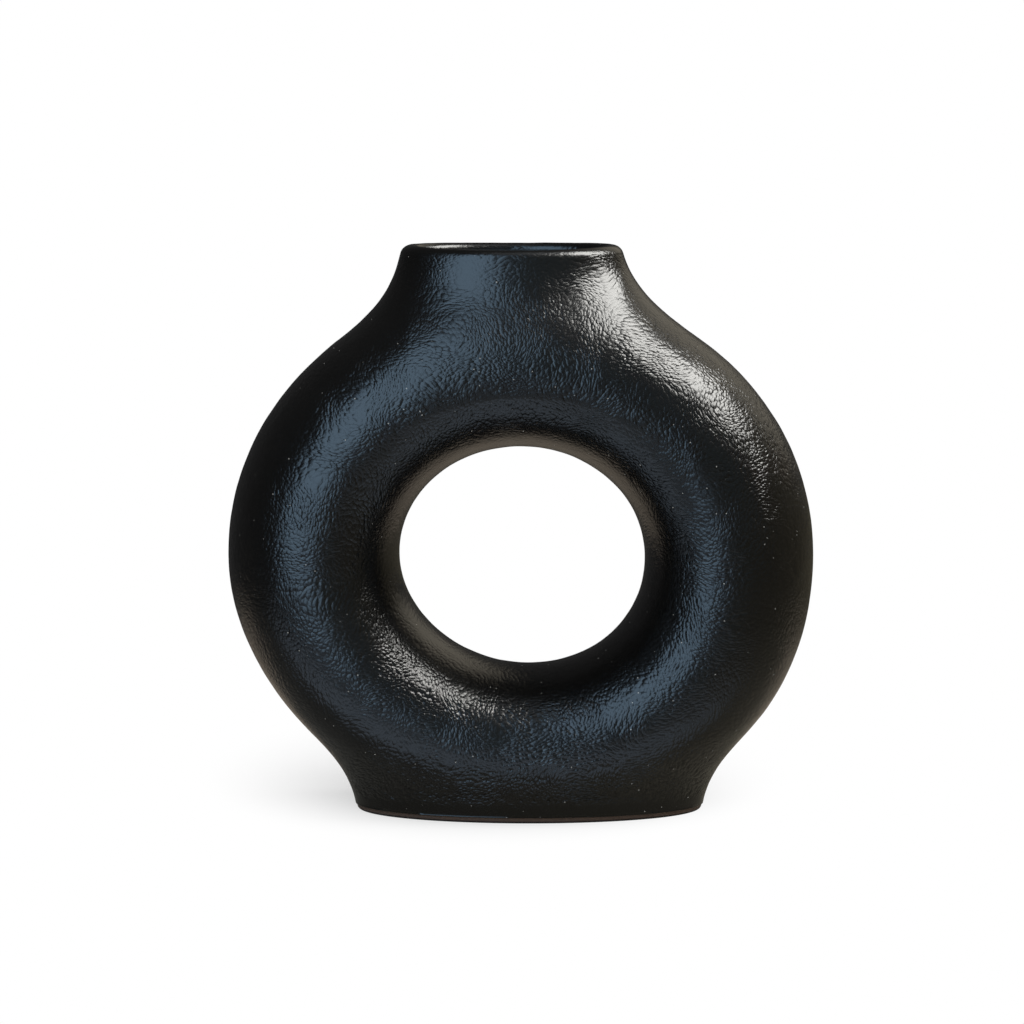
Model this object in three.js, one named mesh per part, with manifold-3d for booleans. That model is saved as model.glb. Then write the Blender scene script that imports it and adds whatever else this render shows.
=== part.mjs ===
// Ring vase in black glazed stoneware, hollow all the way round.
// Two pressed half shells meet on the mid-plane, an oval collar makes the mouth and an oval
// slab makes the floor. Every joint is luted with a thin bed of clay slip.
// Millimetres, +Z up, the front towards -Y, the origin on the table under the middle of the ring.

import * as THREE from 'three';
import { LoftGeometry } from 'three/addons/geometries/LoftGeometry.js';
import { mergeVertices } from 'three/addons/utils/BufferGeometryUtils.js';
import Module from 'manifold-3d';

// The ring: an oval seen from the front, with an oval section all round
const RING_WIDTH = 200;
const RING_HEIGHT = 185.8;
const RING_DEPTH = 74;
const RING_SINK = 4.25; // how far the ring's lower curve would dip below the table

// The hole: an oval, turned a little in its plane and set a little off the middle
const HOLE_WIDTH = 84;
const HOLE_HEIGHT = 75.5;
const HOLE_TURN = 4.6; // degrees, right side down
const HOLE_SHIFT = 0.45; // to the right
const HOLE_DROP = 0.75;

// The neck and its collar
const NECK_RISE = 12.65; // from the top of the ring's curve to the rim
const MOUTH_WIDTH = 73.8;
const MOUTH_DEPTH = 48;
const NECK_FLARE = 0.077; // widening of each side per millimetre below the rim
const NECK_FILLET = 22.9; // at the neck's two ends
const NECK_FRONT_FILLET = 14; // at its front and back
const COLLAR_HEIGHT = 22;
const RIM_SAG = 0.7; // the rim is lower at the front and back than at its ends

// The foot and its floor slab
const FOOT_WIDTH = 118.5;
const FOOT_DEPTH = 58;
const FOOT_FILLET = 15.8; // at the foot's two ends
const FOOT_FRONT_FILLET = 5; // at its front and back
const FLOOR_THICKNESS = 6;
const FOOT_EDGE = 0.8; // rounding where the slab meets the table
const BARE_HEIGHT = 1.4; // the glaze stops this far above the table
const GLAZE_THICKNESS = 0.4;

// Clay wall and luting slip
const WALL = 5.5;
const SLIP = 1;
const CLEARANCE = 0.3; // left on both sides of each bed of slip

// Hand-made lean of the centre line: the foot to the right, the mouth to the left
const FOOT_LEAN = 3;
const FOOT_UPRIGHT = 15; // height of the foot's part that stands straight
const MOUTH_LEAN = -3.1;

// Facets
const RING_STEPS = 64;
const OUTER_SIDES = 24;
const INNER_SIDES = 18;
const OVAL_STEPS = 64;
const COLLAR_STEPS = 3;
const LIP_STEPS = 6;
const EDGE_STEPS = 3;
const MARCH = 1.5; // step of the outward search for the surface
const HALVINGS = 30;

// Heights and planes that the pieces share
const RING_CENTRE = RING_HEIGHT / 2 - RING_SINK;
const VASE_HEIGHT = RING_CENTRE + RING_HEIGHT / 2 + NECK_RISE;
const MIDDLE_RADIUS = (RING_HEIGHT + HOLE_HEIGHT) / 4;
const TOP_MIDDLE = RING_CENTRE + MIDDLE_RADIUS;
const BOTTOM_MIDDLE = RING_CENTRE - MIDDLE_RADIUS;
const COLLAR_SEAT = VASE_HEIGHT - COLLAR_HEIGHT;
const JOINT = SLIP + 2 * CLEARANCE;
const SHELL_TOP = COLLAR_SEAT - JOINT;
const SHELL_BOTTOM = FLOOR_THICKNESS + JOINT;
const SPARE = 20; // how far the uncut ring runs past its neck and foot joints
const BEYOND = RING_WIDTH + RING_DEPTH + VASE_HEIGHT; // safely outside the vase
const DEPTH_AXIS = new THREE.Vector3(0, 1, 0);

const { smoothstep, degToRad, lerp } = THREE.MathUtils;
const wasm = await Module();
wasm.setup();

// The vase's form

// Distance to an ellipse, negative inside it
function ellipseDistance(u, v, a, b) {
  const level = Math.hypot(u / a, v / b);
  const slope = Math.hypot(u / (a * a), v / (b * b));
  return slope > 0 ? (level * (level - 1)) / slope : -Math.min(a, b);
}

// Joins two distances with a round fillet between their forms
function filletJoin(p, q, fillet) {
  const overlap = Math.max(fillet - Math.abs(p - q), 0) / fillet;
  return Math.min(p, q) - (overlap * overlap * fillet) / 4;
}

// Fillet of an oval stub, from its front and back to its two ends
function stubFillet(x, width, frontFillet, endFillet) {
  const endOn = Math.min((2 * x) / width, 1) ** 2;
  return lerp(frontFillet, endFillet, endOn);
}

function ovalRadius(angle, width, height) {
  return 1 / Math.hypot(Math.cos(angle) / (width / 2), Math.sin(angle) / (height / 2));
}

// Middle and half breadth of the ring's section at an angle round the ring
function ringSection(angle) {
  const outer = ovalRadius(angle, RING_WIDTH, RING_HEIGHT);
  const oval = ovalRadius(angle + degToRad(HOLE_TURN), HOLE_WIDTH, HOLE_HEIGHT);
  const inner = oval + HOLE_SHIFT * Math.cos(angle) - HOLE_DROP * Math.sin(angle);
  return { middle: (outer + inner) / 2, half: (outer - inner) / 2 };
}

// Distance to the vase's outer skin before it leans, negative inside
function skinDistance({ x, y, z }) {
  const rise = z - RING_CENTRE;
  const { middle, half } = ringSection(Math.atan2(rise, x));
  const ring = ellipseDistance(Math.hypot(x, rise) - middle, y, half, RING_DEPTH / 2);
  const flare = NECK_FLARE * Math.max(VASE_HEIGHT - z, 0);
  const neckOval = ellipseDistance(x, y, MOUTH_WIDTH / 2 + flare, MOUTH_DEPTH / 2 + flare);
  const neck = Math.max(neckOval, TOP_MIDDLE - z);
  const footOval = ellipseDistance(x, y, FOOT_WIDTH / 2, FOOT_DEPTH / 2);
  const foot = Math.max(footOval, z - BOTTOM_MIDDLE);
  const neckFillet = stubFillet(Math.abs(x), MOUTH_WIDTH, NECK_FRONT_FILLET, NECK_FILLET);
  const footFillet = stubFillet(Math.abs(x), FOOT_WIDTH, FOOT_FRONT_FILLET, FOOT_FILLET);
  return filletJoin(filletJoin(ring, neck, neckFillet), foot, footFillet);
}

// The uncut ring ends flat a little past its two joints
function bodyDistance(point) {
  return Math.max(skinDistance(point), point.z - COLLAR_SEAT - SPARE, -SPARE - point.z);
}

// Moves a point sideways with its height
function lean(point) {
  const foot = FOOT_LEAN * (1 - smoothstep(point.z, FOOT_UPRIGHT, RING_CENTRE));
  const mouth = MOUTH_LEAN * smoothstep(point.z, TOP_MIDDLE, VASE_HEIGHT);
  return point.setX(point.x + foot + mouth);
}

// First point outward from a start where a form's surface, sunk by a depth, is met
function surfacePoint(start, direction, distance, depth) {
  const at = (travel) => start.clone().addScaledVector(direction, travel);
  let far = MARCH;
  while (distance(at(far)) < -depth) {
    far += MARCH;
  }
  let near = far - MARCH;
  for (let i = 0; i < HALVINGS; i += 1) {
    const half = (near + far) / 2;
    if (distance(at(half)) < -depth) {
      near = half;
    } else {
      far = half;
    }
  }
  return at(far);
}

// Solids

// Values at the even steps from 0 to 1, both ends included
function stepped(steps, valueAt) {
  return Array.from({ length: steps + 1 }, (_, i) => valueAt(i / steps));
}

// Values at even steps once round, without repeating the first
function fullTurn(steps, valueAt) {
  return stepped(steps, (share) => valueAt(2 * Math.PI * share)).slice(0, steps);
}

function solid(geometry) {
  const points = new THREE.BufferGeometry();
  points.setAttribute('position', geometry.attributes.position);
  points.setIndex(geometry.index);
  const merged = mergeVertices(points);
  const vertProperties = new Float32Array(merged.attributes.position.array);
  const triVerts = new Uint32Array(merged.index.array);
  return new wasm.Manifold(new wasm.Mesh({ numProp: 3, vertProperties, triVerts }));
}

// A loft whose last section meets its first
function ringLoft(sections) {
  return solid(new LoftGeometry([...sections, sections[0]]));
}

// A block between two corners
function block(low, high) {
  const size = high.clone().sub(low);
  const middle = low.clone().add(high).divideScalar(2);
  const geometry = new THREE.BoxGeometry(size.x, size.y, size.z);
  return solid(geometry.translate(middle.x, middle.y, middle.z));
}

function layer(lowY, highY, lowX = -BEYOND, highX = BEYOND) {
  const low = new THREE.Vector3(lowX, lowY, SHELL_BOTTOM);
  const high = new THREE.Vector3(highX, highY, SHELL_TOP);
  return block(low, high);
}

// The whole ring with neck and foot stubs, its surface sunk by a depth
function ringBody(depth, sides) {
  const sections = fullTurn(RING_STEPS, (angle) => {
    const outward = new THREE.Vector3(Math.cos(angle), 0, Math.sin(angle));
    const centre = outward.clone().multiplyScalar(ringSection(angle).middle);
    centre.z += RING_CENTRE;
    return fullTurn(sides, (turn) => {
      const direction = outward.clone().multiplyScalar(Math.cos(turn));
      direction.addScaledVector(DEPTH_AXIS, Math.sin(turn));
      return lean(surfacePoint(centre, direction, bodyDistance, depth));
    });
  });
  return ringLoft(sections);
}

// Everything inside the ring's middle line, used to part the hole's seam from the outer ones
function ringCore() {
  const sections = [BEYOND, -BEYOND].map((y) => fullTurn(RING_STEPS, (angle) => {
    const { middle } = ringSection(angle);
    const height = RING_CENTRE + middle * Math.sin(angle);
    return lean(new THREE.Vector3(middle * Math.cos(angle), y, height));
  }));
  return solid(new LoftGeometry(sections, { capStart: true, capEnd: true }));
}

// Point of the neck's or foot's wall at a height, towards an angle on an oval
function wallPoint(angle, width, breadth, height, depth) {
  const start = new THREE.Vector3(0, 0, height);
  const direction = new THREE.Vector3(width * Math.cos(angle), breadth * Math.sin(angle), 0);
  return surfacePoint(start, direction.normalize(), skinDistance, depth);
}

const neckPoint = (angle, height, depth) => wallPoint(angle, MOUTH_WIDTH, MOUTH_DEPTH, height, depth);
const footPoint = (angle, height, depth) => wallPoint(angle, FOOT_WIDTH, FOOT_DEPTH, height, depth);

// The collar: inner wall, round lip, outer wall and a flat seat
function collarBody() {
  const sections = fullTurn(OVAL_STEPS, (angle) => {
    const rim = VASE_HEIGHT - RIM_SAG * Math.sin(angle) ** 2;
    const outerEdge = neckPoint(angle, rim, 0);
    const innerEdge = neckPoint(angle, rim, WALL);
    const lip = outerEdge.clone().sub(innerEdge).divideScalar(2);
    const shoulder = rim - lip.length();
    const heights = stepped(COLLAR_STEPS, (share) => lerp(COLLAR_SEAT, shoulder, share)).slice(0, -1);
    const innerWall = heights.map((height) => neckPoint(angle, height, WALL));
    const outerWall = heights.map((height) => neckPoint(angle, height, 0)).reverse();
    const lipCentre = outerEdge.clone().add(innerEdge).divideScalar(2).setZ(shoulder);
    const lipArc = stepped(LIP_STEPS, (share) => {
      const turn = Math.PI * share;
      const point = lipCentre.clone().addScaledVector(lip, -Math.cos(turn));
      return point.setZ(shoulder + lip.length() * Math.sin(turn));
    });
    return [...innerWall, ...lipArc, ...outerWall].map(lean);
  });
  return ringLoft(sections);
}

// A flat oval bed of slip as wide as the wall it lies under
function slipRing(pointAt, bottom) {
  const sections = fullTurn(OVAL_STEPS, (angle) => [
    pointAt(angle, bottom, WALL),
    pointAt(angle, bottom + SLIP, WALL),
    pointAt(angle, bottom + SLIP, 0),
    pointAt(angle, bottom, 0),
  ].map(lean));
  return ringLoft(sections);
}

// The floor slab: bare clay at its rounded lower edge, glazed above
function slabBody() {
  const edge = stepped(EDGE_STEPS, (share) => {
    const turn = (Math.PI / 2) * share;
    const height = FOOT_EDGE * (1 - Math.cos(turn));
    return { height, depth: GLAZE_THICKNESS + FOOT_EDGE * (1 - Math.sin(turn)) };
  });
  const levels = [
    ...edge,
    { height: BARE_HEIGHT, depth: GLAZE_THICKNESS },
    { height: BARE_HEIGHT + GLAZE_THICKNESS, depth: 0 },
    { height: FLOOR_THICKNESS, depth: 0 },
  ];
  const sections = levels.map(({ height, depth }) => (
    fullTurn(OVAL_STEPS, (angle) => lean(footPoint(angle, height, depth)))
  ));
  return solid(new LoftGeometry(sections, { capStart: true, capEnd: true }));
}

// The scene

function glazed(color) {
  return new THREE.MeshStandardMaterial({ color, roughness: 0.3, metalness: 0 });
}

function bareClay(color) {
  return new THREE.MeshStandardMaterial({ color, roughness: 0.9, metalness: 0 });
}

function pieceMesh(name, body, material) {
  const { vertProperties, triVerts } = body.getMesh();
  const geometry = new THREE.BufferGeometry();
  geometry.setAttribute('position', new THREE.BufferAttribute(vertProperties, 3));
  geometry.setIndex(new THREE.BufferAttribute(triVerts, 1));
  geometry.computeVertexNormals();
  const mesh = new THREE.Mesh(geometry, material);
  mesh.name = name;
  return mesh;
}

const BLACK_GLAZE = 0x0c0d10;
const DARK_SLIP = 0x1c1815;
const BROWN_CLAY = 0x4a3024;

const wall = ringBody(0, OUTER_SIDES).subtract(ringBody(WALL, INNER_SIDES));
const seams = wall.intersect(layer(-SLIP / 2, SLIP / 2));
const core = ringCore();
const outerSeams = seams.subtract(core);
const halfJoint = JOINT / 2;

const vase = new THREE.Group();
vase.name = 'ring_vase';
vase.add(
  pieceMesh('front_shell', wall.intersect(layer(-BEYOND, -halfJoint)), glazed(BLACK_GLAZE)),
  pieceMesh('back_shell', wall.intersect(layer(halfJoint, BEYOND)), glazed(BLACK_GLAZE)),
  pieceMesh('neck_collar', collarBody(), glazed(BLACK_GLAZE)),
  pieceMesh('floor_slab', slabBody(), bareClay(BROWN_CLAY)),
  pieceMesh('hole_seam_slip', seams.intersect(core), bareClay(DARK_SLIP)),
  pieceMesh('left_seam_slip', outerSeams.intersect(layer(-SLIP, SLIP, -BEYOND, 0)), bareClay(DARK_SLIP)),
  pieceMesh('right_seam_slip', outerSeams.intersect(layer(-SLIP, SLIP, 0, BEYOND)), bareClay(DARK_SLIP)),
  pieceMesh('neck_seam_slip', slipRing(neckPoint, SHELL_TOP + CLEARANCE), bareClay(DARK_SLIP)),
  pieceMesh('floor_seam_slip', slipRing(footPoint, FLOOR_THICKNESS + CLEARANCE), bareClay(DARK_SLIP)),
);

export default vase;
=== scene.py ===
"""Ring vase in black glazed stoneware, hollow all the way round.

The form follows one rule: an oval ring with an oval section, joined by fillets to an oval neck
and an oval foot, and leaning a little with its height. Flat sheets of clay hold the angle and
depth of each point, node trees press them onto the form, and the pressed bodies are cut along
the luted joints. Metres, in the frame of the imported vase, with the front towards -Y.
"""

import math

import bmesh
import bpy
import numpy as np
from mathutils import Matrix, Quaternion, Vector


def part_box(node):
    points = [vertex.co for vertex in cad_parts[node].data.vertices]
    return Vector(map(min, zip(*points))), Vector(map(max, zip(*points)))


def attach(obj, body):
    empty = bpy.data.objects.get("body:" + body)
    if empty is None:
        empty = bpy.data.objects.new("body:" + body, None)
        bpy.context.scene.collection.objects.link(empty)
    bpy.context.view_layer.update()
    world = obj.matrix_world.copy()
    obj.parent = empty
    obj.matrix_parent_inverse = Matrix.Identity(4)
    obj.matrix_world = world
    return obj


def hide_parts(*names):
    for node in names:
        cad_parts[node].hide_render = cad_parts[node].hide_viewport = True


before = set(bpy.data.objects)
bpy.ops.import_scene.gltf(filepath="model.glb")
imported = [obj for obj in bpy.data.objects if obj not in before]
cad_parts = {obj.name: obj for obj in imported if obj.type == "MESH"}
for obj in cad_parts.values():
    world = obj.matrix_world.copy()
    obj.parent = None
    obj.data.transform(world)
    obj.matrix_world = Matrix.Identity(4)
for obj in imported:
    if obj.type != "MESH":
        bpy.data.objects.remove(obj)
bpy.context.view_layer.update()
MM = 0.001

# Places of the joints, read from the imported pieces
SHELL_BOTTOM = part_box("front_shell")[0].z
SHELL_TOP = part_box("front_shell")[1].z
COLLAR_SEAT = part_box("neck_collar")[0].z
VASE_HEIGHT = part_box("neck_collar")[1].z
SLAB_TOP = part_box("floor_slab")[1].z
HALF_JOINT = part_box("back_shell")[0].y

# The vase's form, in the words of the node trees' inputs
FORM = {
    "Ring width": 200 * MM,
    "Ring height": 185.8 * MM,
    "Ring depth": 74 * MM,
    "Ring centre": 88.65 * MM,
    "Hole width": 84 * MM,
    "Hole height": 75.5 * MM,
    "Hole turn": math.radians(4.6),
    "Hole shift": 0.45 * MM,
    "Hole drop": 0.75 * MM,
    "Mouth width": 73.8 * MM,
    "Mouth depth": 48 * MM,
    "Neck flare": 0.077,
    "Neck fillet": 22.9 * MM,
    "Neck front fillet": 14 * MM,
    "Foot width": 118.5 * MM,
    "Foot depth": 58 * MM,
    "Foot fillet": 15.8 * MM,
    "Foot front fillet": 5 * MM,
    "Foot lean": 3 * MM,
    "Foot upright": 15 * MM,
    "Mouth lean": -3.1 * MM,
    "Vase height": VASE_HEIGHT,
    "Collar seat": COLLAR_SEAT,
    "Rim sag": 0.7 * MM,
}
WALL = 5.5 * MM
SPARE = 12 * MM  # how far each pressed body runs past its joints before it is cut

LIP_GLAZE = 0.98 * WALL  # the black glaze runs over the lip almost to the inner wall

# The foot's lower edge
FOOT_EDGE = 1.2 * MM
BARE_HEIGHT = 1.5 * MM
GLAZE_THICKNESS = 0.4 * MM

# Slow swells of the hand-pressed clay under the glaze
SWELLS = {
    "Swell height": 0.22 * MM,
    "Swell spacing": 13 * MM,
    "Dimple height": 0.13 * MM,
    "Dimple spacing": 5 * MM,
    "Hand": 7.0,  # fixed seed
}

# Fineness of the sheets
RING_COLUMNS = 560
RING_ROWS = 224
INNER_COLUMNS = 224
INNER_ROWS = 96
OVAL_COLUMNS = 288
ROW = 0.9 * MM
LIP_ROWS = 16
EDGE_ROWS = 6
PRESSES = 26
REACH = 6 * MM  # where each point starts on its way out from the middle


class Wire:
    """A node's output that arithmetic can be written on: each operator adds a Math node."""

    def __init__(self, tree, socket):
        self.tree = tree
        self.socket = socket

    @staticmethod
    def node(tree, kind, settings=None, inputs=None, output=0):
        """Adds any node: its settings first, then the values or links of its sockets."""
        made = tree.nodes.new(kind)
        for name, value in (settings or {}).items():
            setattr(made, name, value)
        for name, value in (inputs or {}).items():
            if isinstance(name, int):
                socket = made.inputs[name]
            else:
                socket = next(s for s in made.inputs if s.name == name and s.enabled)
            if isinstance(value, Wire):
                tree.links.new(value.socket, socket)
            else:
                socket.default_value = value
        if isinstance(output, int):
            shown = [s for s in made.outputs if s.enabled]
            return Wire(tree, shown[output]) if shown else made
        return Wire(tree, next(s for s in made.outputs if s.name == output and s.enabled))

    def math(self, operation, *values):
        return Wire.node(self.tree, "ShaderNodeMath", {"operation": operation}, dict(enumerate(values)))

    def vector(self, operation, *values, output=0):
        settings = {"operation": operation}
        return Wire.node(self.tree, "ShaderNodeVectorMath", settings, dict(enumerate(values)), output)

    def __add__(self, other):
        return self.math("ADD", self, other)

    def __sub__(self, other):
        return self.math("SUBTRACT", self, other)

    def __rsub__(self, other):
        return self.math("SUBTRACT", other, self)

    def __mul__(self, other):
        return self.math("MULTIPLY", self, other)

    def __rmul__(self, other):
        return self.math("MULTIPLY", other, self)

    def __truediv__(self, other):
        return self.math("DIVIDE", self, other)

    def __rtruediv__(self, other):
        return self.math("DIVIDE", other, self)

    def __neg__(self):
        return self.math("MULTIPLY", self, -1)

    def __abs__(self):
        return self.math("ABSOLUTE", self)

    def sin(self):
        return self.math("SINE", self)

    def cos(self):
        return self.math("COSINE", self)

    def root(self):
        return self.math("SQRT", self)

    def lesser(self, other):
        return self.math("MINIMUM", self, other)

    def greater(self, other):
        return self.math("MAXIMUM", self, other)

    def scaled(self, factor):
        inputs = {0: self, "Scale": factor}
        return Wire.node(self.tree, "ShaderNodeVectorMath", {"operation": "SCALE"}, inputs)

    def eased(self, low, high, start=0.0, end=1.0):
        """Smooth step from start to end as this goes from low to high."""
        settings = {"interpolation_type": "SMOOTHSTEP"}
        inputs = {"Value": self, "From Min": low, "From Max": high, "To Min": start, "To Max": end}
        return Wire.node(self.tree, "ShaderNodeMapRange", settings, inputs)

    def split(self):
        made = Wire.node(self.tree, "ShaderNodeSeparateXYZ", inputs={0: self}).socket.node
        return [Wire(self.tree, socket) for socket in made.outputs]


def point(tree, x, y, z):
    return Wire.node(tree, "ShaderNodeCombineXYZ", inputs={0: x, 1: y, 2: z})


def length(u, v):
    return (u * u + v * v).root()


# The vase's form as arithmetic on wires


def ellipse_distance(u, v, a, b):
    """Distance to an ellipse of half axes a and b, negative inside it."""
    level = length(u / a, v / b)
    slope = length(u / (a * a), v / (b * b))
    return level * (level - 1) / slope


def fillet_join(p, q, fillet):
    """Joins two distances with a round fillet between their forms."""
    overlap = (fillet - abs(p - q)).greater(0) / fillet
    return p.lesser(q) - overlap * overlap * fillet / 4


def stub_fillet(x, width, front_fillet, end_fillet):
    """Fillet of an oval stub, from its front and back to its two ends."""
    end_on = (abs(x) * 2 / width).lesser(1)
    return front_fillet + (end_fillet - front_fillet) * end_on * end_on


def oval_radius(angle, width, height):
    return 0.5 / length(angle.cos() / width, angle.sin() / height)


def ring_section(angle, form):
    """Middle and half breadth of the ring's section at an angle round the ring."""
    outer = oval_radius(angle, form["Ring width"], form["Ring height"])
    oval = oval_radius(angle + form["Hole turn"], form["Hole width"], form["Hole height"])
    inner = oval + form["Hole shift"] * angle.cos() - form["Hole drop"] * angle.sin()
    return (outer + inner) / 2, (outer - inner) / 2


def middle_radius(form):
    return (form["Ring height"] + form["Hole height"]) / 4


def skin_distance(x, y, z, form):
    """Distance to the vase's outer skin before it leans, negative inside."""
    rise = z - form["Ring centre"]
    middle, half = ring_section(rise.math("ARCTAN2", rise, x), form)
    ring = ellipse_distance(length(x, rise) - middle, y, half, form["Ring depth"] / 2)
    flare = form["Neck flare"] * (form["Vase height"] - z).greater(0)
    neck = ellipse_distance(x, y, form["Mouth width"] / 2 + flare, form["Mouth depth"] / 2 + flare)
    neck = neck.greater(form["Ring centre"] + middle_radius(form) - z)
    foot = ellipse_distance(x, y, form["Foot width"] / 2, form["Foot depth"] / 2)
    foot = foot.greater(z - form["Ring centre"] + middle_radius(form))
    neck_fillet = stub_fillet(x, form["Mouth width"], form["Neck front fillet"], form["Neck fillet"])
    foot_fillet = stub_fillet(x, form["Foot width"], form["Foot front fillet"], form["Foot fillet"])
    return fillet_join(fillet_join(ring, neck, neck_fillet), foot, foot_fillet)


def body_distance(x, y, z, form):
    """The same, with flat ends a little past the neck and foot joints."""
    skin = skin_distance(x, y, z, form)
    return skin.greater(z - form["Collar seat"] - SPARE).greater(-SPARE - z)


def lean(z, form):
    """How far the hand-built vase stands sideways at a height."""
    foot = z.eased(form["Foot upright"], form["Ring centre"], form["Foot lean"], 0.0)
    shoulder = form["Ring centre"] + middle_radius(form)
    return foot + z.eased(shoulder, form["Vase height"], 0.0, form["Mouth lean"])


# Node trees that press a sheet onto the form


def ring_ray(tree, sheet, form):
    """Start and direction of each point of a sheet that wraps round the ring's section."""
    angle, turn, _ = sheet.split()
    middle, _ = ring_section(angle, form)
    across = turn.cos()
    start = point(tree, middle * angle.cos(), 0.0, middle * angle.sin() + form["Ring centre"])
    return start, point(tree, across * angle.cos(), turn.sin(), across * angle.sin())


def oval_ray(tree, sheet, form):
    """Start and direction of each point of a sheet that wraps round an upright oval."""
    angle, height, _ = sheet.split()
    share = (height - form["Collar seat"]).greater(0) / (form["Vase height"] - form["Collar seat"])
    sag = form["Rim sag"] * angle.sin() * angle.sin() * share
    outward = point(tree, form["Oval width"] * angle.cos(), form["Oval depth"] * angle.sin(), 0.0)
    return point(tree, 0.0, 0.0, height - sag), outward.vector("NORMALIZE", outward)


def noise(place, spacing, seed, detail=0.0):
    """Seeded smooth noise from -0.5 to 0.5 about the spacing apart."""
    inputs = {"Vector": place, "W": seed, "Scale": 1 / spacing, "Detail": detail}
    return Wire.node(place.tree, "ShaderNodeTexNoise", {"noise_dimensions": "4D"}, inputs) - 0.5


def pressing_tree(name, ray, distance, sizes):
    """Node tree that moves each point of a sheet out from the middle of the clay to the form."""
    tree = bpy.data.node_groups.new(name, "GeometryNodeTree")
    tree.interface.new_socket("Sheet", in_out="INPUT", socket_type="NodeSocketGeometry")
    for size in sizes:
        tree.interface.new_socket(size, in_out="INPUT", socket_type="NodeSocketFloat")
    for material in ("Outer finish", "Inner finish"):
        tree.interface.new_socket(material, in_out="INPUT", socket_type="NodeSocketMaterial")
    tree.interface.new_socket("Body", in_out="OUTPUT", socket_type="NodeSocketGeometry")
    entry = tree.nodes.new("NodeGroupInput")
    form = {s.name: Wire(tree, s) for s in entry.outputs if s.name}

    def attribute(name, kind):
        settings = {"data_type": kind}
        return Wire.node(tree, "GeometryNodeInputNamedAttribute", settings, {"Name": name})

    def stored(body, name, kind, value):
        settings = {"data_type": kind, "domain": "POINT"}
        inputs = {"Geometry": body, "Name": name, "Value": value}
        return Wire.node(tree, "GeometryNodeStoreNamedAttribute", settings, inputs)

    def moved(body, **inputs):
        return Wire.node(tree, "GeometryNodeSetPosition", inputs={"Geometry": body, **inputs})

    place = Wire.node(tree, "GeometryNodeInputPosition")
    start, direction = ray(tree, place, form)
    body = stored(form["Sheet"], "ray", "FLOAT_VECTOR", direction)
    body = stored(body, "sunk", "FLOAT", place.split()[2])
    body = moved(body, Position=start.vector("ADD", start, direction.scaled(REACH)))

    # One press closes most of the way that is left to the form
    zone_in = tree.nodes.new("GeometryNodeRepeatInput")
    zone_out = tree.nodes.new("GeometryNodeRepeatOutput")
    zone_in.pair_with_output(zone_out)
    zone_in.inputs["Iterations"].default_value = PRESSES
    tree.links.new(body.socket, zone_in.inputs["Geometry"])
    sunk = attribute("sunk", "FLOAT")
    gap = distance(*place.split(), form) + sunk
    press = attribute("ray", "FLOAT_VECTOR").scaled(-gap)
    nearer = moved(Wire(tree, zone_in.outputs["Geometry"]), Offset=press)
    tree.links.new(nearer.socket, zone_out.inputs["Geometry"])
    body = Wire(tree, zone_out.outputs["Geometry"])

    _, _, height = place.split()
    body = moved(body, Offset=point(tree, lean(height, form), 0.0, 0.0))
    swell = noise(place, form["Swell spacing"], form["Hand"]) * form["Swell height"]
    dimple = noise(place, form["Dimple spacing"], form["Hand"] + 1) * form["Dimple height"]
    off_table = height.eased(BARE_HEIGHT, SLAB_TOP)
    normal = Wire.node(tree, "GeometryNodeInputNormal")
    body = moved(body, Offset=normal.scaled((swell + dimple) * off_table))
    body = stored(body, "skin_normal", "FLOAT_VECTOR", normal)

    inner = sunk.math("GREATER_THAN", sunk, form["Outer depth"])
    body = Wire.node(tree, "GeometryNodeRealizeInstances", inputs={"Geometry": body})
    body = Wire.node(
        tree, "GeometryNodeSetMaterial", inputs={"Geometry": body, "Material": form["Outer finish"]}
    )
    inputs = {"Geometry": body, "Selection": inner, "Material": form["Inner finish"]}
    body = Wire.node(tree, "GeometryNodeSetMaterial", inputs=inputs)
    leave = tree.nodes.new("NodeGroupOutput")
    tree.links.new(body.socket, leave.inputs["Body"])
    return tree


def sheet_mesh(name, *sheets):
    """Flat sheets whose points hold (angle, height or turn, depth), closed round the angle."""
    verts, faces = [], []
    for columns, profile, looped in sheets:
        rows = len(profile)
        base = len(verts)
        verts += [
            (math.tau * i / columns, along, depth) for i in range(columns) for along, depth in profile
        ]

        def at(i, j):
            return base + (i % columns) * rows + j % rows

        steps = rows if looped else rows - 1
        for i in range(columns):
            for j in range(steps):
                faces.append((at(i, j), at(i, j + 1), at(i + 1, j + 1), at(i + 1, j)))
        if not looped:
            faces.append([at(i, 0) for i in range(columns)])
            faces.append([at(-i, rows - 1) for i in range(columns)])
    mesh = bpy.data.meshes.new(name)
    mesh.from_pydata(verts, [], faces)
    mesh.polygons.foreach_set("use_smooth", [True] * len(faces))
    return mesh


def pressed(name, tree, mesh, sizes):
    """The sheet pressed onto the form, as a plain mesh."""
    body = bpy.data.objects.new(name, mesh)
    bpy.context.scene.collection.objects.link(body)
    modifier = body.modifiers.new("press", "NODES")
    modifier.node_group = tree
    inputs = {s.name: s.identifier for s in tree.interface.items_tree if s.in_out == "INPUT"}
    for size, value in sizes.items():
        modifier[inputs[size]] = value
    evaluated = body.evaluated_get(bpy.context.evaluated_depsgraph_get())
    result = bpy.data.meshes.new_from_object(evaluated)
    bpy.data.objects.remove(body)
    bpy.data.meshes.remove(mesh)
    return result


# Profiles of the sheets


def evenly(start, end, spacing):
    """Values from start to end, both included, about the spacing apart."""
    steps = max(1, math.ceil(abs(end - start) / spacing))
    return [start + (end - start) * i / steps for i in range(steps + 1)]


def turns(rows):
    return [math.tau * i / rows for i in range(rows)]


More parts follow.
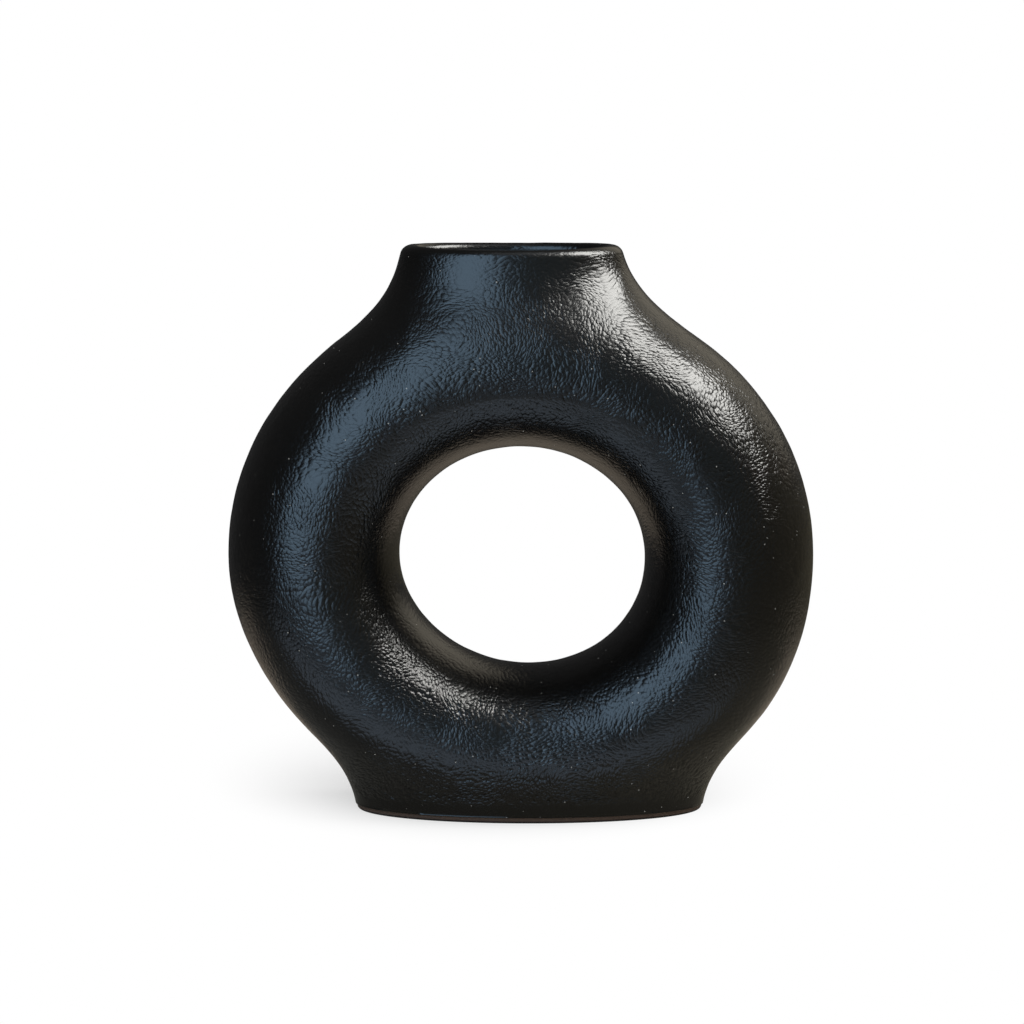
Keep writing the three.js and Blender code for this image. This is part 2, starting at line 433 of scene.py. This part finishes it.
def wall_loop(bottom, top, top_rows):
    """Closed profile of an upright wall: up the inside, over the top, down the outside."""
    inside = [(height, WALL) for height in evenly(bottom, top, ROW)][:-1]
    outside = [(height, 0.0) for height in evenly(top, bottom, ROW)][1:]
    floor = [(bottom, depth) for depth in evenly(0.0, WALL, ROW)][1:-1]
    return inside + top_rows + outside + floor


def lip_rows(shoulder):
    """Half round lip from the inner to the outer wall."""
    rows = []
    for i in range(LIP_ROWS + 1):
        turn = math.pi * i / LIP_ROWS
        rows.append((shoulder + WALL / 2 * math.sin(turn), WALL / 2 * (1 + math.cos(turn))))
    return rows


def flat_rows(top):
    return [(top, depth) for depth in evenly(WALL, 0.0, ROW)]


def slab_profile(top):
    """Outside of the slab from its top down to the table: glaze, its lower edge, bare clay."""
    rows = [(height, 0.0) for height in evenly(top, BARE_HEIGHT + 2 * GLAZE_THICKNESS, ROW)]
    for i in range(EDGE_ROWS + 1):
        turn = math.pi / 2 * i / EDGE_ROWS
        height = BARE_HEIGHT + GLAZE_THICKNESS * (2 - math.sin(turn))
        rows.append((height, GLAZE_THICKNESS * (1 - math.cos(turn))))
    rows.append((BARE_HEIGHT, GLAZE_THICKNESS))
    for i in range(EDGE_ROWS + 1):
        turn = math.pi / 2 * i / EDGE_ROWS
        rows.append((FOOT_EDGE * (1 - math.sin(turn)), GLAZE_THICKNESS + FOOT_EDGE * (1 - math.cos(turn))))
    return rows


# Cutting the pressed bodies into the clay pieces

Y, Z = Vector((0, 1, 0)), Vector((0, 0, 1))


def below(height):
    return Z * height, Z


def above(height):
    return Z * height, -Z


def cut(mesh, *planes):
    """A copy of a closed mesh without what lies past the planes, with flat faces on the cuts."""
    clay = bmesh.new()
    clay.from_mesh(mesh)
    flat = clay.faces.layers.int.get("cut_face") or clay.faces.layers.int.new("cut_face")
    for place, outward in planes:
        everything = clay.verts[:] + clay.edges[:] + clay.faces[:]
        met = bmesh.ops.bisect_plane(
            clay, geom=everything, dist=1e-8, plane_co=place, plane_no=outward, clear_outer=True
        )
        edges = [e for e in met["geom_cut"] if isinstance(e, bmesh.types.BMEdge)]
        filled = bmesh.ops.triangle_fill(clay, use_beauty=True, edges=edges, normal=outward)
        for face in filled["geom"]:
            if isinstance(face, bmesh.types.BMFace):
                face[flat] = 1
                face.material_index = 1
    result = bpy.data.meshes.new(mesh.name + "_cut")
    clay.to_mesh(result)
    clay.free()
    for material in mesh.materials:
        result.materials.append(material)
    return result


def islands(mesh):
    """Separate bodies of a mesh as meshes of their own."""
    whole = bmesh.new()
    whole.from_mesh(mesh)
    whole.verts.ensure_lookup_table()
    left = set(whole.verts)
    groups = []
    while left:
        group, edge = set(), [left.pop()]
        while edge:
            vert = edge.pop()
            group.add(vert.index)
            for link in vert.link_edges:
                other = link.other_vert(vert)
                if other in left:
                    left.remove(other)
                    edge.append(other)
        groups.append(group)
    whole.free()
    parts = []
    for group in groups:
        part = bmesh.new()
        part.from_mesh(mesh)
        spare = [v for v in part.verts if v.index not in group]
        bmesh.ops.delete(part, geom=spare, context="VERTS")
        result = bpy.data.meshes.new(mesh.name + "_part")
        part.to_mesh(result)
        part.free()
        for material in mesh.materials:
            result.materials.append(material)
        parts.append(result)
    return parts


def keep_skin_normals(mesh):
    """Shades the skin as one surface across the joints, and the cut faces flat."""
    mesh.polygons.foreach_set("use_smooth", np.ones(len(mesh.polygons), bool))
    skin = np.empty(len(mesh.vertices) * 3, np.float32)
    mesh.attributes["skin_normal"].data.foreach_get("vector", skin)
    corner_vertex = np.empty(len(mesh.loops), np.int32)
    mesh.loops.foreach_get("vertex_index", corner_vertex)
    corners = np.empty(len(mesh.polygons), np.int32)
    mesh.polygons.foreach_get("loop_total", corners)
    face_normal = np.empty(len(mesh.polygons) * 3, np.float32)
    mesh.polygons.foreach_get("normal", face_normal)
    flat = np.zeros(len(mesh.polygons), np.int32)
    if "cut_face" in mesh.attributes:
        mesh.attributes["cut_face"].data.foreach_get("value", flat)
    flat = (flat > 0) | (corners > 4)
    normals = skin.reshape(-1, 3)[corner_vertex]
    on_cut = np.repeat(flat, corners)
    normals[on_cut] = np.repeat(face_normal.reshape(-1, 3), corners, axis=0)[on_cut]
    normals /= np.linalg.norm(normals, axis=1, keepdims=True)
    mesh.normals_split_custom_set(normals)
    for name in ("ray", "sunk", "skin_normal", "cut_face"):
        if name in mesh.attributes:
            mesh.attributes.remove(mesh.attributes[name])


def fired(node, mesh):
    """The finished piece that stands for a packed clay piece."""
    keep_skin_normals(mesh)
    mesh.name = node + "_fired"
    piece = bpy.data.objects.new(node + "_fired", mesh)
    bpy.context.scene.collection.objects.link(piece)
    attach(piece, "root")
    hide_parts(node)
    return piece


# Finishes

GLAZE_DARK = (0.0022, 0.0022, 0.0022, 1)
GLAZE_WARM = (0.0042, 0.004, 0.0036, 1)
GLAZE_CLOUD = 20 * MM  # spacing of the slow change between the two
GLAZE_ROUGHNESS = 0.25
GLAZE_UNEVEN = 0.08  # how much its roughness changes with the cloud
# Pale specks: painted glints of tiny bubbles and pits in the glaze
SPECK_GLINT_COLOR = (0.35, 0.35, 0.33, 1)
SPECK_SPACING = 2.8 * MM
SPECK_RADIUS = 0.17 * MM  # of a middling speck, about
SPECK_LEAST = 0.4  # share of it that the smallest speck has
SPECK_SHARE = 0.5  # of the cells of their grid
PAD_HEIGHT = 0.205 * MM
PAD_SPACING = 0.92 * MM
PAD_UNEVEN = 0.35  # in heights of the pads
LOW_SPACING = 1.9 * MM  # larger pads lie under them above the foot
LOW_HEIGHT = 0.85  # in heights of the small pads
DEEP_CREASES = 2.8  # how much higher the small pads are close above the foot
DEEP_HEIGHTS = (13.5 * MM, 31.5 * MM)  # between which they come down to their usual height
PAD_LEVEL = (0.6, 0.6, 1.0)  # squeeze that draws the pads of glaze out sideways
PAD_UPRIGHT = (1.0, 0.6, 0.6)  # and upwards
PAD_TURN = 14 * MM  # spacing of the patches that are drawn out one way or the other
PAD_BLEND = 0.1  # how softly one way goes over into the other
WHORL_SPACING = 12 * MM
WHORL_PUSH = 7 * MM
RIPPLE_SPACING = 3 * MM
RIPPLE_HEIGHT = 0.4  # in heights of the pads
SMOOTH_FOOT = 9 * MM  # no wrinkles just above the table
SMOOTH_LIP = 3 * MM
CALM_NECK = (150 * MM, 178 * MM)  # heights between which the wrinkles grow shallow
CALM_SHARE = 0.6
HOLE_WALL_START = 1.12  # in half breadths of the hole
HOLE_WALL_END = 1.34
HOLE_CALM = 0.45  # share of the wrinkles' height that the hole wall lacks
INNER_DARK = (0.006, 0.006, 0.006, 1)
INNER_PALE = (0.012, 0.011, 0.009, 1)
INNER_CLOUD = 12 * MM
INNER_HEIGHT = 0.3 * MM
INNER_ROUGHNESS = 0.4
CLAY_DARK = (0.045, 0.026, 0.016, 1)
CLAY_PALE = (0.13, 0.08, 0.052, 1)
CLAY_CONTACT_SHADE = (0.012, 0.009, 0.007, 1)  # painted shade on the rounded edge where it meets the table
GRIT_SPACING = 0.8 * MM
GRIT_HEIGHT = 0.1 * MM
CLAY_ROUGHNESS = 0.75
MATT_UNEVEN = 0.2  # how much the inner glaze and the clay change in roughness


def new_finish(name):
    material = bpy.data.materials.new(name)
    material.use_nodes = True
    material.node_tree.nodes.clear()
    return material, material.node_tree


def surface(tree, settings):
    return Wire.node(tree, "ShaderNodeBsdfPrincipled", inputs=settings)


def show(tree, shader):
    Wire.node(tree, "ShaderNodeOutputMaterial", inputs={"Surface": shader})


def object_place(tree):
    return Wire.node(tree, "ShaderNodeTexCoord", output="Object")


def mixed(factor, low, high):
    """Colour between two colours."""
    inputs = {"Factor": factor, "A": low, "B": high}
    return Wire.node(factor.tree, "ShaderNodeMix", {"data_type": "RGBA"}, inputs)


def whorled(place, spacing, push, seed):
    """The place pushed about by slow noise, so that what is laid on it runs in whorls."""
    inputs = {"Vector": place, "W": seed, "Scale": 1 / spacing, "Detail": 0.0}
    drift = Wire.node(place.tree, "ShaderNodeTexNoise", {"noise_dimensions": "4D"}, inputs, "Color")
    drift = drift.vector("SUBTRACT", drift, (0.5, 0.5, 0.5))
    return place.vector("ADD", place, drift.scaled(push))


def pads(place, spacing):
    """Height of rounded pads of glaze that meet in creases."""
    inputs = {"Vector": place, "Scale": 1 / spacing}
    reach = Wire.node(place.tree, "ShaderNodeTexVoronoi", {"feature": "F1"}, inputs, "Distance")
    return noise(place, spacing / 2, seed=3.0) * PAD_UNEVEN - reach * reach


def wrinkles(place, spacing, seed):
    """Pads of glaze drawn out in whorls, sideways here and upwards there."""
    whorls = whorled(place, WHORL_SPACING, WHORL_PUSH, seed)
    level = pads(whorls.vector("MULTIPLY", whorls, PAD_LEVEL), spacing)
    upright = pads(whorls.vector("MULTIPLY", whorls, PAD_UPRIGHT), spacing)
    turned = noise(place, PAD_TURN, seed + 1).eased(-PAD_BLEND, PAD_BLEND)
    ripple = noise(place, RIPPLE_SPACING, seed + 2) * RIPPLE_HEIGHT
    return level + (upright - level) * turned + ripple


def hole_wall(place):
    """1 on the wall of the hole, fading to 0 towards the front and the back."""
    x, _, z = place.split()
    across = x * 2 / FORM["Hole width"]
    level = length(across, (z - FORM["Ring centre"]) * 2 / FORM["Hole height"])
    return level.eased(HOLE_WALL_START, HOLE_WALL_END, 1.0, 0.0)


def specks(place, spacing, radius, share):
    """Mask of tiny round specks in some cells of a loose grid."""
    inputs = {"Vector": place, "Scale": 1 / spacing}
    cell = Wire.node(place.tree, "ShaderNodeTexVoronoi", {"feature": "F1"}, inputs).socket.node
    distance = Wire(place.tree, cell.outputs["Distance"]) * spacing
    lot, size, _ = Wire(place.tree, cell.outputs["Color"]).split()
    grown = radius * (size + SPECK_LEAST)
    return distance.math("LESS_THAN", distance, grown) * lot.math("LESS_THAN", lot, share)


def black_glaze():
    """Satin black glaze that shrank into fine wrinkles, with a few pale specks that are painted glints of
    tiny bubbles and pits in it.
    """
    material, tree = new_finish("black_glaze")
    place = object_place(tree)
    _, _, z = place.split()
    hole = hole_wall(place)
    cloud = noise(place, GLAZE_CLOUD, seed=3.0, detail=2.0)
    # Specks of painted glint, pale in the colour itself
    glint_speck = specks(place, SPECK_SPACING, SPECK_RADIUS, SPECK_SHARE)
    color = mixed(cloud + 0.5, GLAZE_DARK, GLAZE_WARM)
    color = mixed(glint_speck, color, SPECK_GLINT_COLOR)
    above_foot = z.eased(SMOOTH_FOOT / 2, SMOOTH_FOOT)
    below_lip = z.eased(VASE_HEIGHT - SMOOTH_LIP, VASE_HEIGHT, 1.0, 0.0)
    calmed = (1 - hole * HOLE_CALM) * z.eased(*CALM_NECK, 1.0, CALM_SHARE)
    low = z.eased(SMOOTH_FOOT, FORM["Ring centre"] / 2, LOW_HEIGHT, 0.0)
    deep = z.eased(*DEEP_HEIGHTS, DEEP_CREASES, 1.0)
    folds = wrinkles(place, PAD_SPACING, seed=2.0) * deep
    folds = folds + wrinkles(place, LOW_SPACING, seed=6.0) * low
    relief = folds * (above_foot * below_lip * calmed)
    bump = Wire.node(tree, "ShaderNodeBump", inputs={"Distance": PAD_HEIGHT, "Height": relief})
    rough = cloud * GLAZE_UNEVEN + GLAZE_ROUGHNESS
    show(tree, surface(tree, {"Base Color": color, "Roughness": rough, "Normal": bump}))
    return material


def inner_glaze():
    """Thin, dull glaze poured over the inside."""
    material, tree = new_finish("inner_glaze")
    place = object_place(tree)
    cloud = noise(place, INNER_CLOUD, seed=5.0, detail=3.0) + 0.5
    bump = Wire.node(tree, "ShaderNodeBump", inputs={"Distance": INNER_HEIGHT, "Height": cloud})
    color = mixed(cloud, INNER_DARK, INNER_PALE)
    rough = cloud * MATT_UNEVEN + INNER_ROUGHNESS
    show(tree, surface(tree, {"Base Color": color, "Roughness": rough, "Normal": bump}))
    return material


def bare_clay():
    """Bare brown stoneware, gritty and matt, with painted contact shade on its lowest edge."""
    material, tree = new_finish("bare_clay")
    place = object_place(tree)
    grit = noise(place, GRIT_SPACING, seed=1.0, detail=3.0) + 0.5
    bump = Wire.node(tree, "ShaderNodeBump", inputs={"Distance": GRIT_HEIGHT, "Height": grit})
    _, _, z = place.split()
    # Painted contact shade: the clay darkens towards the table
    color = mixed(z.eased(FOOT_EDGE / 3, FOOT_EDGE), CLAY_CONTACT_SHADE, mixed(grit, CLAY_DARK, CLAY_PALE))
    rough = grit * MATT_UNEVEN + CLAY_ROUGHNESS
    show(tree, surface(tree, {"Base Color": color, "Roughness": rough, "Normal": bump}))
    return material


# The vase


def make_vase():
    glaze, inside, clay = black_glaze(), inner_glaze(), bare_clay()
    common = {**FORM, **SWELLS, "Outer depth": WALL / 2, "Outer finish": glaze, "Inner finish": inside}
    sizes = [*FORM, *SWELLS, "Outer depth"]
    ring_tree = pressing_tree("press_ring", ring_ray, body_distance, sizes)
    oval_tree = pressing_tree("press_oval", oval_ray, skin_distance, [*sizes, "Oval width", "Oval depth"])
    neck = {**common, "Oval width": FORM["Mouth width"], "Oval depth": FORM["Mouth depth"]}
    neck["Outer depth"] = LIP_GLAZE
    foot = {**common, "Oval width": FORM["Foot width"], "Oval depth": FORM["Foot depth"]}

    outer = (RING_COLUMNS, [(turn, 0.0) for turn in turns(RING_ROWS)], True)
    inner = (INNER_COLUMNS, [(turn, WALL) for turn in reversed(turns(INNER_ROWS))], True)
    ring = pressed("ring", ring_tree, sheet_mesh("ring_sheet", outer, inner), common)
    ring = cut(ring, above(SHELL_BOTTOM), below(SHELL_TOP))
    fired("front_shell", cut(ring, (Y * -HALF_JOINT, Y)))
    fired("back_shell", cut(ring, (Y * HALF_JOINT, -Y)))
    seams = islands(cut(ring, (Y * -HALF_JOINT, -Y), (Y * HALF_JOINT, Y)))
    seams.sort(key=lambda seam: np.mean([v.co.x for v in seam.vertices]))
    for node, seam in zip(("left_seam_slip", "hole_seam_slip", "right_seam_slip"), seams):
        fired(node, seam)

    shoulder = VASE_HEIGHT - WALL / 2
    wall = wall_loop(SHELL_TOP - SPARE, shoulder, lip_rows(shoulder))
    collar = pressed("neck", oval_tree, sheet_mesh("neck_sheet", (OVAL_COLUMNS, wall, True)), neck)
    fired("neck_collar", cut(collar, above(COLLAR_SEAT)))
    fired("neck_seam_slip", cut(collar, above(SHELL_TOP), below(COLLAR_SEAT)))

    top = SHELL_BOTTOM + SPARE
    wall = wall_loop(SLAB_TOP - SPARE / 4, top, flat_rows(top))
    bed = pressed("foot", oval_tree, sheet_mesh("foot_sheet", (OVAL_COLUMNS, wall, True)), foot)
    fired("floor_seam_slip", cut(bed, above(SLAB_TOP), below(SHELL_BOTTOM)))
    slab = sheet_mesh("slab_sheet", (OVAL_COLUMNS, slab_profile(top), False))
    bare = {"Outer depth": GLAZE_THICKNESS / 10, "Inner finish": clay}
    slab = pressed("slab", oval_tree, slab, {**foot, **bare})
    fired("floor_slab", cut(slab, below(SLAB_TOP)))


# The studio

CAMERA_AIM = Vector((-2.99, 0, 102.79)) * MM
CAMERA_DISTANCE = 1455.35 * MM
CAMERA_ELEVATION = math.radians(7.202)
CAMERA_SENSOR = 36  # width in millimetres, as the lens below
CAMERA_LENS = 149.67


def make_camera():
    camera = bpy.data.cameras.new("camera")
    camera.lens = CAMERA_LENS
    camera.sensor_width = CAMERA_SENSOR
    holder = bpy.data.objects.new("camera", camera)
    back = Vector((0, -math.cos(CAMERA_ELEVATION), math.sin(CAMERA_ELEVATION)))
    holder.location = CAMERA_AIM + back * CAMERA_DISTANCE
    holder.rotation_euler = back.to_track_quat("Z", "Y").to_euler()
    bpy.context.scene.collection.objects.link(holder)
    bpy.context.scene.camera = holder


def area_light(name, size, radiance, color, hidden_from):
    """A flat light of a given brightness, out of the camera's sight."""
    width, height = size
    lamp = bpy.data.lights.new(name, "AREA")
    lamp.shape = "RECTANGLE"
    lamp.size = width
    lamp.size_y = height
    lamp.energy = radiance * math.pi * width * height
    lamp.color = color
    holder = bpy.data.objects.new(name, lamp)
    holder.visible_camera = False
    setattr(holder, "visible_" + hidden_from, False)
    bpy.context.scene.collection.objects.link(holder)
    return holder


def place_light(holder, place, aim, roll):
    """Sets a light at a place, facing its aim and rolled by an angle in degrees."""
    holder.location = place
    facing = (place - aim).to_track_quat("Z", "Y")
    holder.rotation_euler = (facing @ Quaternion((0, 0, 1), math.radians(roll))).to_euler()


def seen(tree):
    """1 for rays from the camera, and for those that a reflection or glass sends on."""
    rays = Wire.node(tree, "ShaderNodeLightPath").socket.node.outputs
    camera, glossy, through = (
        Wire(tree, rays[name]) for name in ("Is Camera Ray", "Is Glossy Ray", "Is Transmission Ray")
    )
    return camera.greater(glossy).greater(through)


def stage_piece(name, mesh, material):
    mesh.materials.append(material)
    piece = bpy.data.objects.new(name, mesh)
    bpy.context.scene.collection.objects.link(piece)
    return piece


def reflected_only(piece):
    """Leaves a studio piece to the reflections in the glaze."""
    for rays in ("camera", "diffuse", "transmission", "volume_scatter", "shadow"):
        setattr(piece, "visible_" + rays, False)


FLOOR_RADIUS = 2.5
FLOOR_COLOR = (0.95, 0.95, 0.95, 1)
SHADED_MIDDLE = (-10 * MM, 70 * MM)
SHADED_RADIUS = 108 * MM  # the floor is plain white past it
SHADED_CORE = 30 * MM
SHADED_WHITE = 0.25  # share of plain white left in the core
SHADED_STRETCH = 1.3  # from front to back


def make_floor():
    mesh = bpy.data.meshes.new("floor")
    disc = bmesh.new()
    bmesh.ops.create_circle(disc, cap_ends=True, segments=96, radius=FLOOR_RADIUS)
    disc.to_mesh(mesh)
    disc.free()
    material, tree = new_finish("white_floor")
    place = object_place(tree)
    x, y, _ = place.split()
    away = length(x - SHADED_MIDDLE[0], (y - SHADED_MIDDLE[1]) / SHADED_STRETCH)
    white_share = away.eased(SHADED_CORE, SHADED_RADIUS, SHADED_WHITE, 1.0)
    lit = Wire.node(tree, "ShaderNodeBsdfDiffuse", inputs={"Color": FLOOR_COLOR})
    white = Wire.node(tree, "ShaderNodeEmission", inputs={"Color": (1, 1, 1, 1), "Strength": 1.0})
    inputs = {0: white_share * seen(tree), 1: lit, 2: white}
    show(tree, Wire.node(tree, "ShaderNodeMixShader", inputs=inputs))
    stage_piece("floor", mesh, material)


TENT_RADIUS = 2.2
TENT_FLOOR = 0.05 * MM  # the tent closes just above the floor
TABLE_TOP = 1 * MM  # what is lower glows as the painted table
# Dim glow of the tent, painted light
TENT_GLOW = (0.05, 0.05, 0.05, 1)
# Pale glowing stretches of the tent, painted light: azimuth from the camera to the right, elevation,
# reach, colour
TENT_STRETCHES = {
    "overhead": (60, 80, 26, (0.5, 0.53, 0.56, 1)),
    "front": (20, 16, 46, (0.16, 0.2, 0.22, 1)),
    "right": (95, 0, 55, (0.15, 0.13, 0.09, 1)),
    "back right": (143, 32, 28, (0.75, 0.68, 0.55, 1)),
}
# Painted light and shade of the table as the glaze mirrors it, near the vase on its four sides and far
# from it to the left and right
TABLE_LEFT = (0.14, 0.14, 0.13, 1)
TABLE_RIGHT = (0.25, 0.23, 0.18, 1)
TABLE_FRONT = (0.8, 0.98, 1.2, 1)
TABLE_BACK = (0.46, 0.39, 0.31, 1)
TABLE_FAR_LEFT = (0.05, 0.05, 0.05, 1)
TABLE_FAR_RIGHT = (0.13, 0.115, 0.08, 1)
# Where one painted stretch of the table goes over into the next, in metres from the middle of the vase
NEAR_SIDES = (-0.1, 0.1)
NEAR_BACK = (0.02, 0.09)
FAR_SIDES = (-0.3, 0.5)
FAR_START = (0.1, 0.4)
FRONT_START = (0.042, 0.062)
FRONT_FADE = (0.068, 0.13)
FRONT_REST = 0.27  # share of the front cloth that is left past its fade
FRONT_MIDDLE = -0.06
FRONT_SIDES = (0.06, 0.24)  # to both sides of its middle


def toward(azimuth, elevation):
    """Direction by its angle from the camera to the right, and its angle above the table."""
    azimuth, elevation = math.radians(azimuth), math.radians(elevation)
    level = math.cos(elevation)
    return Vector((level * math.sin(azimuth), -level * math.cos(azimuth), math.sin(elevation)))


def make_tent():
    """Dark, dimly glowing tent round the vase, with painted light and shade of a table below it, seen only
    in reflections.
    """
    mesh = bpy.data.meshes.new("tent")
    dome = bmesh.new()
    bmesh.ops.create_uvsphere(dome, u_segments=48, v_segments=24, radius=TENT_RADIUS)
    everything = dome.verts[:] + dome.edges[:] + dome.faces[:]
    bmesh.ops.bisect_plane(dome, geom=everything, plane_co=Z * TENT_FLOOR, plane_no=-Z, clear_outer=True)
    bmesh.ops.holes_fill(dome, edges=dome.edges)
    dome.to_mesh(mesh)
    dome.free()
    material, tree = new_finish("tent_cloth")
    place = object_place(tree)
    x, y, z = place.split()
    glow = TENT_GLOW
    for azimuth, elevation, reach, color in TENT_STRETCHES.values():
        middle = toward(azimuth, elevation) / TENT_RADIUS
        facing = place.vector("DOT_PRODUCT", place, middle, output="Value")
        share = facing.eased(math.cos(math.radians(reach)), math.cos(math.radians(reach / 4)))
        glow = mixed(share, glow, color)
    table = mixed(x.eased(*NEAR_SIDES), TABLE_LEFT, TABLE_RIGHT)
    table = mixed(y.eased(*NEAR_BACK), table, TABLE_BACK)
    far = mixed(x.eased(*FAR_SIDES), TABLE_FAR_LEFT, TABLE_FAR_RIGHT)
    table = mixed(length(x, y).eased(*FAR_START), table, far)
    front = (-y).eased(*FRONT_START) * (-y).eased(*FRONT_FADE, 1.0, FRONT_REST)
    front = front * abs(x - FRONT_MIDDLE).eased(*FRONT_SIDES, 1.0, 0.0)
    table = mixed(front, table, TABLE_FRONT)
    color = mixed(z.math("LESS_THAN", z, TABLE_TOP), glow, table)
    show(tree, Wire.node(tree, "ShaderNodeEmission", inputs={"Color": color}))
    reflected_only(stage_piece("tent", mesh, material))


SOFTBOX_LEFT = -0.46
SOFTBOX_RIGHT = -0.05
SOFTBOX_FRONT = -0.36
SOFTBOX_BOTTOM = 1 * MM
SOFTBOX_HEIGHT = 0.95
SOFTBOX_CORE = (-0.34, -0.16)  # across, where it is brightest
SOFTBOX_BRIGHT = (0.16, 0.57)  # the same in height
# How bright its edges are beside its core
SOFTBOX_EDGES = {"left": 0.6, "right": 0.72, "bottom": 0.75, "top": 0.3}
SOFTBOX_COLOR = (1.72, 2.55, 3.43, 1)


def make_softbox():
    """Tall window diffuser left of the lens, dimmer towards its edges."""
    left, right, front = SOFTBOX_LEFT, SOFTBOX_RIGHT, SOFTBOX_FRONT
    corners = [(left, front, SOFTBOX_BOTTOM), (left, front, SOFTBOX_HEIGHT)]
    corners += [(right, front, SOFTBOX_HEIGHT), (right, front, SOFTBOX_BOTTOM)]
    mesh = bpy.data.meshes.new("softbox")
    mesh.from_pydata(corners, [], [(0, 1, 2, 3)])
    material, tree = new_finish("softbox_diffuser")
    x, _, z = object_place(tree).split()
    across = x.eased(left, SOFTBOX_CORE[0], SOFTBOX_EDGES["left"], 1.0)
    across = across * x.eased(SOFTBOX_CORE[1], right, 1.0, SOFTBOX_EDGES["right"])
    upward = z.eased(0.0, SOFTBOX_BRIGHT[0], SOFTBOX_EDGES["bottom"], 1.0)
    upward = upward * z.eased(SOFTBOX_BRIGHT[1], SOFTBOX_HEIGHT, 1.0, SOFTBOX_EDGES["top"])
    color = mixed(across * upward, (0, 0, 0, 1), SOFTBOX_COLOR)
    show(tree, Wire.node(tree, "ShaderNodeEmission", inputs={"Color": color}))
    reflected_only(stage_piece("softbox", mesh, material))


SKY_LIGHT = (0.6, 0.6, 0.6, 1)
SKY_SEEN = (1, 1, 1, 1)


def make_world():
    world = bpy.data.worlds.new("studio")
    bpy.context.scene.world = world
    world.use_nodes = True
    tree = world.node_tree
    tree.nodes.clear()
    sky = mixed(seen(tree), SKY_LIGHT, SKY_SEEN)
    light = Wire.node(tree, "ShaderNodeBackground", inputs={"Color": sky, "Strength": 1.0})
    Wire.node(tree, "ShaderNodeOutputWorld", inputs={"Surface": light})


# The key light only shows in reflections, and the overhead light in none of them
KEY_DIRECTION = (83, 50)  # azimuth from the camera to the right, elevation
KEY_DISTANCE = 0.95
KEY_ROLL = 25  # degrees, its top leaning towards the camera
KEY_SIZE = (0.48, 0.56)
KEY_RADIANCE = 16.5
KEY_COLOR = (1.0, 0.99, 0.95)
OVERHEAD_PLACE = (0.35, -0.1, 1.2)
OVERHEAD_AIM = (0.0, 0.0, 0.0)
OVERHEAD_SIZE = (0.9, 0.9)
OVERHEAD_RADIANCE = 3.0
OVERHEAD_COLOR = (1.0, 1.0, 1.0)


def make_studio():
    make_camera()
    make_world()
    make_floor()
    make_tent()
    make_softbox()
    middle = Z * FORM["Ring centre"]
    key = middle + toward(*KEY_DIRECTION) * KEY_DISTANCE
    light = area_light("key", KEY_SIZE, KEY_RADIANCE, KEY_COLOR, "diffuse")
    place_light(light, key, middle, KEY_ROLL)
    light = area_light("overhead", OVERHEAD_SIZE, OVERHEAD_RADIANCE, OVERHEAD_COLOR, "glossy")
    place_light(light, Vector(OVERHEAD_PLACE), Vector(OVERHEAD_AIM), 0)


make_studio()
make_vase()
bpy.context.scene.view_settings.view_transform = "Standard"
